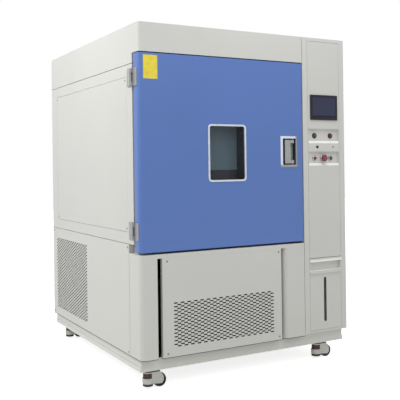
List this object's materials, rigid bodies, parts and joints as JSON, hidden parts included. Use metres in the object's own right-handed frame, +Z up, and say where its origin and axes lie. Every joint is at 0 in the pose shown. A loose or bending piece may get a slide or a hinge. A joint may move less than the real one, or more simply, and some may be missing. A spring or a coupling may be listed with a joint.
{
  "type": "environmental test chamber",
  "caption": "Floor-standing test chamber: insulated door with a small window and recessed lever handle, side control column with screen and buttons, slotted service panel, levelling casters.",
  "frame": {"origin": "on the floor, in the middle of the overall box", "axes": "+Z up, +X to the right seen from the front, +Y to the back; the door faces -Y"},
  "size_m": [1.407, 1.514, 1.945],
  "materials": {
    "painted_cabinet": "fine textured powder coat, light warm grey",
    "painted_plinth": "powder coat, light grey",
    "galvanised_steel": "zinc coated sheet",
    "zinc_screws": "zinc plated",
    "screen_plastic": "moulded bezel with dark glass",
    "panel_fittings": "turned and plated",
    "stainless": "brushed",
    "mineral_wool": "matt fibre",
    "polished_aluminium": "polished",
    "lamp_glass": "clear quartz with ceramic caps",
    "motor_paint": "black semi-gloss",
    "fan_plastic": "moulded",
    "door_paint": "fine textured powder coat, mid blue",
    "seal_rubber": "matt silicone",
    "window_rubber": "pale grey profile",
    "window_glass": "tinted",
    "cast_chrome": "plated casting",
    "satin_lever": "satin plated",
    "bolt_steel": "ground",
    "hinge_metal": "satin",
    "green_button": "moulded",
    "red_button": "moulded",
    "drawer_paint": "fine textured powder coat, light warm grey",
    "tank_plastic": "blow moulded, translucent white",
    "caster_plate_steel": "black oxide",
    "caster_housing": "cast and painted",
    "caster_wheel": "black nylon",
    "levelling_foot": "rubber pad under a dark red dial"
  },
  "bodies": {
    "cabinet": {"base_frame": "painted_plinth", "caster_plates": "caster_plate_steel", "deck_frame": "galvanised_steel", "header_cap": "painted_cabinet", "left_upper_frame": "painted_cabinet", "left_upper_panel": "painted_cabinet", "left_lower_panel": "painted_cabinet", "left_corner_post": "painted_cabinet", "ledge_strip": "painted_cabinet", "front_grille_panel": "painted_cabinet", "right_flank_post": "painted_cabinet", "control_column": "painted_cabinet", "right_cover": "painted_cabinet", "back_panel": "painted_cabinet", "control_panel": "painted_cabinet", "hmi_panel": "screen_plastic", "panel_fittings": "panel_fittings", "cabinet_screws": "zinc_screws", "chamber_face": "stainless", "chamber_liner": "stainless", "insulation_jacket": "mineral_wool", "lamp_reflector": "polished_aluminium", "lamps_and_filter": "lamp_glass", "air_grille": "stainless", "drive_motors": "motor_paint", "condenser_coil": "galvanised_steel", "compressor": "motor_paint", "strike_plate": "galvanised_steel", "hinge_body_leaves": "hinge_metal", "drawer_runners": "galvanised_steel"},
    "door": {"door_shell": "door_paint", "door_liner": "stainless", "door_seal": "seal_rubber", "window_gasket": "window_rubber", "window_panes": "window_glass", "handle_bezel": "cast_chrome", "hinge_door_leaves": "hinge_metal"},
    "door_handle": {"handle_lever": "satin_lever"},
    "bolt": {"latch_bolt": "bolt_steel"},
    "start": {"start_button": "green_button"},
    "stop": {"stop_button": "red_button"},
    "light": {"light_button": "green_button"},
    "emergency": {"emergency_stop": "red_button"},
    "drawer": {"water_drawer": "drawer_paint", "water_tank": "tank_plastic"},
    "turntable": {"specimen_turntable": "stainless"},
    "blower": {"blower_wheel": "stainless"},
    "fan": {"condenser_fan": "fan_plastic"},
    "front_left_caster": {"front_left_caster_housing": "caster_housing"},
    "front_left_wheel": {"front_left_caster_wheel": "caster_wheel"},
    "front_left_foot": {"front_left_levelling_foot": "levelling_foot"},
    "front_right_caster": {"front_right_caster_housing": "caster_housing"},
    "front_right_wheel": {"front_right_caster_wheel": "caster_wheel"},
    "front_right_foot": {"front_right_levelling_foot": "levelling_foot"},
    "rear_left_caster": {"rear_left_caster_housing": "caster_housing"},
    "rear_left_wheel": {"rear_left_caster_wheel": "caster_wheel"},
    "rear_left_foot": {"rear_left_levelling_foot": "levelling_foot"},
    "rear_right_caster": {"rear_right_caster_housing": "caster_housing"},
    "rear_right_wheel": {"rear_right_caster_wheel": "caster_wheel"},
    "rear_right_foot": {"rear_right_levelling_foot": "levelling_foot"}
  },
  "joints": [
    {"name": "door_hinge", "type": "hinge", "parent": "cabinet", "child": "door", "pos_m": [-0.6905, -0.665, 1.26], "axis": [0, 0, 1], "range_deg": [-120, 0]},
    {"name": "handle_turn", "type": "hinge", "parent": "door", "child": "door_handle", "pos_m": [0.3105, -0.735, 1.264], "axis": [0, 0, 1], "range_deg": [0, 45]},
    {"name": "bolt_slide", "type": "slide", "parent": "door", "child": "bolt", "axis": [-1, 0, 0], "range_m": [0, 0.0173]},
    {"name": "start_press", "type": "slide", "parent": "cabinet", "child": "start", "axis": [0, 1, 0], "range_m": [0, 0.0038], "stiffness_N_per_m": 400},
    {"name": "stop_press", "type": "slide", "parent": "cabinet", "child": "stop", "axis": [0, 1, 0], "range_m": [0, 0.0038], "stiffness_N_per_m": 400},
    {"name": "light_press", "type": "slide", "parent": "cabinet", "child": "light", "axis": [0, 1, 0], "range_m": [0, 0.0038], "stiffness_N_per_m": 400},
    {"name": "emergency_press", "type": "slide", "parent": "cabinet", "child": "emergency", "axis": [0, 1, 0], "range_m": [0, 0.004]},
    {"name": "drawer_slide", "type": "slide", "parent": "cabinet", "child": "drawer", "axis": [0, -1, 0], "range_m": [0, 0.35]},
    {"name": "turntable_spin", "type": "hinge", "parent": "cabinet", "child": "turntable", "pos_m": [-0.1465, -0.301, 1.15], "axis": [0, 0, 1], "continuous": true},
    {"name": "blower_spin", "type": "hinge", "parent": "cabinet", "child": "blower", "pos_m": [-0.1465, 0.13, 1.33], "axis": [0, 1, 0], "continuous": true},
    {"name": "fan_spin", "type": "hinge", "parent": "cabinet", "child": "fan", "pos_m": [-0.1695, -0.58, 0.38], "axis": [0, 1, 0], "continuous": true},
    {"name": "front_left_swivel", "type": "hinge", "parent": "cabinet", "child": "front_left_caster", "pos_m": [-0.5685, -0.643, 0.08], "axis": [0, 0, 1], "continuous": true},
    {"name": "front_left_roll", "type": "hinge", "parent": "front_left_caster", "child": "front_left_wheel", "pos_m": [-0.5325, -0.643, 0.038], "axis": [0, 1, 0], "continuous": true},
    {"name": "front_left_level", "type": "slide", "parent": "front_left_caster", "child": "front_left_foot", "axis": [0, 0, -1], "range_m": [0, 0.014]},
    {"name": "front_right_swivel", "type": "hinge", "parent": "cabinet", "child": "front_right_caster", "pos_m": [0.5655, -0.643, 0.08], "axis": [0, 0, 1], "continuous": true},
    {"name": "front_right_roll", "type": "hinge", "parent": "front_right_caster", "child": "front_right_wheel", "pos_m": [0.6015, -0.643, 0.038], "axis": [0, 1, 0], "continuous": true},
    {"name": "front_right_level", "type": "slide", "parent": "front_right_caster", "child": "front_right_foot", "axis": [0, 0, -1], "range_m": [0, 0.014]},
    {"name": "rear_left_swivel", "type": "hinge", "parent": "cabinet", "child": "rear_left_caster", "pos_m": [-0.5685, 0.662, 0.08], "axis": [0, 0, 1], "continuous": true},
    {"name": "rear_left_roll", "type": "hinge", "parent": "rear_left_caster", "child": "rear_left_wheel", "pos_m": [-0.5325, 0.662, 0.038], "axis": [0, 1, 0], "continuous": true},
    {"name": "rear_left_level", "type": "slide", "parent": "rear_left_caster", "child": "rear_left_foot", "axis": [0, 0, -1], "range_m": [0, 0.014]},
    {"name": "rear_right_swivel", "type": "hinge", "parent": "cabinet", "child": "rear_right_caster", "pos_m": [0.5655, 0.662, 0.08], "axis": [0, 0, 1], "continuous": true},
    {"name": "rear_right_roll", "type": "hinge", "parent": "rear_right_caster", "child": "rear_right_wheel", "pos_m": [0.6015, 0.662, 0.038], "axis": [0, 1, 0], "continuous": true},
    {"name": "rear_right_level", "type": "slide", "parent": "rear_right_caster", "child": "rear_right_foot", "axis": [0, 0, -1], "range_m": [0, 0.014]}
  ],
  "couplings": [
    {"joint": "bolt_slide", "follows": "handle_turn", "m_per_rad": 0.022}
  ]
}
